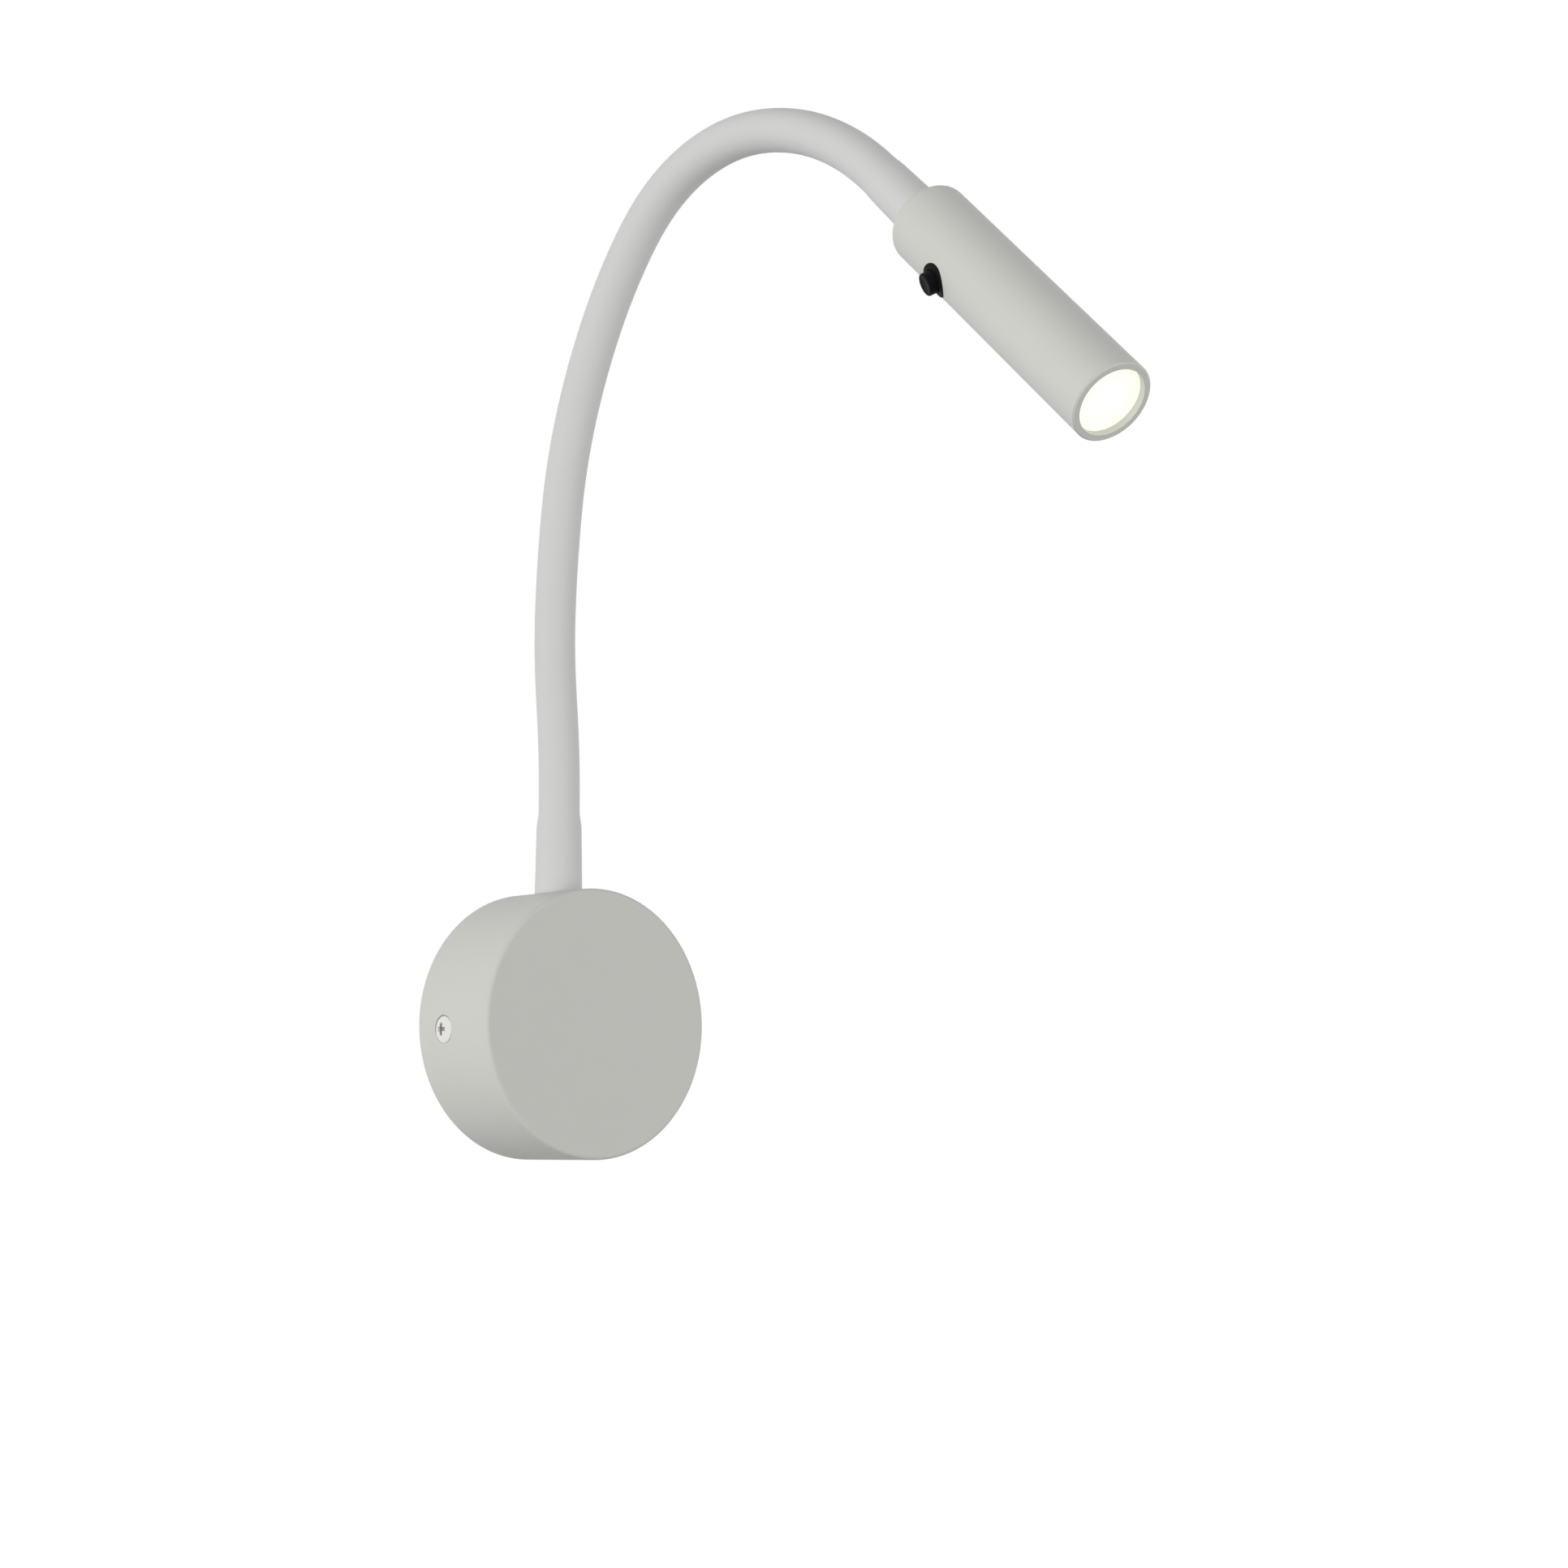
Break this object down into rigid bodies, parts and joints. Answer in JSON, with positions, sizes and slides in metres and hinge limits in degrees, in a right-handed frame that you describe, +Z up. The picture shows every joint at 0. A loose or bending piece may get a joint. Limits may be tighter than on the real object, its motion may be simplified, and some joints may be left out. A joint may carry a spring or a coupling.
{
  "type": "gooseneck wall light",
  "caption": "Wall light with a round drum canopy, a bendable sleeved gooseneck and a slim tubular spot head that carries a push switch and a recessed lens.",
  "frame": {"origin": "middle of the wall plate's back face, between the two wall screw slots", "axes": "+Y into the wall, so the light stands out towards -Y; +Z up along the neck's root; +X sideways"},
  "size_m": [0.0818, 0.252, 0.3001],
  "materials": {
    "canopy_paint": "satin warm grey paint",
    "head_paint": "satin warm grey paint over aluminium",
    "sleeve_silicone": "matte light grey silicone",
    "zinc_plate": "zinc plated sheet",
    "screw_nickel": "nickel plated",
    "fitting_nickel": "nickel plated",
    "core_steel": "bare steel",
    "spring_steel": "spring wire",
    "sink_aluminium": "turned aluminium",
    "lead_jacket": "soft jacket",
    "wire_jacket": "wire insulation",
    "driver_case": "moulded case",
    "foam": "foam tape",
    "terminal_plastic": "moulded block",
    "terminal_brass": "plain brass",
    "board_white": "white solder mask",
    "chip_phosphor": "phosphor",
    "holder_white": "moulded ring",
    "switch_black": "fine grained moulding",
    "button_black": "semi gloss moulding",
    "lens_lit": "frosted front, lit"
  },
  "bodies": {
    "base": {"canopy": "canopy_paint", "wall_plate": "zinc_plate", "canopy_screws": "screw_nickel", "led_driver": "driver_case", "driver_pad": "foam", "terminal_block": "terminal_plastic", "terminal_screws": "terminal_brass", "driver_wires": "wire_jacket", "neck_nut": "fitting_nickel", "neck_washer": "fitting_nickel", "lower_ferrule": "fitting_nickel", "neck_sleeve": "sleeve_silicone", "neck_lead": "lead_jacket", "core_root": "core_steel"},
    "neck_link_1": {"core_link_1": "core_steel"},
    "neck_link_2": {"core_link_2": "core_steel"},
    "neck_link_3": {"core_link_3": "core_steel"},
    "neck_link_4": {"core_link_4": "core_steel"},
    "neck_link_5": {"core_link_5": "core_steel"},
    "neck_link_6": {"core_link_6": "core_steel"},
    "neck_link_7": {"core_link_7": "core_steel"},
    "neck_link_8": {"core_link_8": "core_steel"},
    "neck_link_9": {"core_link_9": "core_steel"},
    "neck_link_10": {"core_link_10": "core_steel"},
    "head": {"core_tip": "core_steel", "upper_ferrule": "fitting_nickel", "head_housing": "head_paint", "head_nut": "fitting_nickel", "head_washer": "fitting_nickel", "heat_sink": "sink_aluminium", "led_board": "board_white", "led_chip": "chip_phosphor", "board_screws": "screw_nickel", "lens_holder": "holder_white", "lens": "lens_lit", "switch_body": "switch_black", "switch_nut": "switch_black", "switch_spring": "spring_steel", "switch_terminals": "terminal_brass", "head_wires": "wire_jacket"},
    "button": {"switch_button": "button_black"}
  },
  "joints": [
    {"name": "neck_nod_1", "type": "hinge", "parent": "base", "child": "neck_link_1", "pos_m": [0, -0.0142, 0.069], "axis": [1, 0, 0], "range_deg": [-10, 12], "deforming": ["neck_sleeve", "neck_lead"]},
    {"name": "neck_sway_2", "type": "hinge", "parent": "neck_link_1", "child": "neck_link_2", "pos_m": [0, -0.0124, 0.09843], "axis": [0, -0.9925, 0.1219], "range_deg": [-20, 20], "deforming": ["neck_sleeve", "neck_lead"]},
    {"name": "neck_nod_3", "type": "hinge", "parent": "neck_link_2", "child": "neck_link_3", "pos_m": [0, -0.01137, 0.12787], "axis": [1, 0, 0], "range_deg": [-10, 12], "deforming": ["neck_sleeve", "neck_lead"]},
    {"name": "neck_sway_4", "type": "hinge", "parent": "neck_link_3", "child": "neck_link_4", "pos_m": [0, -0.0142, 0.15723], "axis": [0, -0.9903, -0.1392], "range_deg": [-20, 20], "deforming": ["neck_sleeve", "neck_lead"]},
    {"name": "neck_nod_5", "type": "hinge", "parent": "neck_link_4", "child": "neck_link_5", "pos_m": [0, -0.02145, 0.18576], "axis": [1, 0, 0], "range_deg": [-20, 12], "deforming": ["neck_sleeve", "neck_lead"]},
    {"name": "neck_sway_6", "type": "hinge", "parent": "neck_link_5", "child": "neck_link_6", "pos_m": [0, -0.03424, 0.2123], "axis": [0, -0.8572, -0.515], "range_deg": [-20, 20], "deforming": ["neck_sleeve", "neck_lead"]},
    {"name": "neck_nod_7", "type": "hinge", "parent": "neck_link_6", "child": "neck_link_7", "pos_m": [0, -0.05216, 0.23565], "axis": [1, 0, 0], "range_deg": [-20, 12], "deforming": ["neck_sleeve", "neck_lead"]},
    {"name": "neck_sway_8", "type": "hinge", "parent": "neck_link_7", "child": "neck_link_8", "pos_m": [0, -0.07705, 0.2509], "axis": [0, -0.2924, -0.9563], "range_deg": [-20, 20], "deforming": ["neck_sleeve", "neck_lead"]},
    {"name": "neck_nod_9", "type": "hinge", "parent": "neck_link_8", "child": "neck_link_9", "pos_m": [0, -0.10622, 0.2532], "axis": [1, 0, 0], "range_deg": [-20, 12], "deforming": ["neck_sleeve", "neck_lead"]},
    {"name": "neck_sway_10", "type": "hinge", "parent": "neck_link_9", "child": "neck_link_10", "pos_m": [0, -0.13432, 0.2446], "axis": [0, 0.4384, -0.8988], "range_deg": [-20, 20], "deforming": ["neck_sleeve", "neck_lead"]},
    {"name": "neck_nod_11", "type": "hinge", "parent": "neck_link_10", "child": "head", "pos_m": [0, -0.15854, 0.22796], "axis": [1, 0, 0], "range_deg": [-20, 12], "deforming": ["neck_sleeve", "neck_lead"]},
    {"name": "switch_press", "type": "slide", "parent": "head", "child": "button", "axis": [0.788, -0.4199, 0.4503], "range_m": [0, 0.0012], "stiffness_N_per_m": 1200, "springref_m": -0.001, "deforming": ["switch_spring"]}
  ]
}
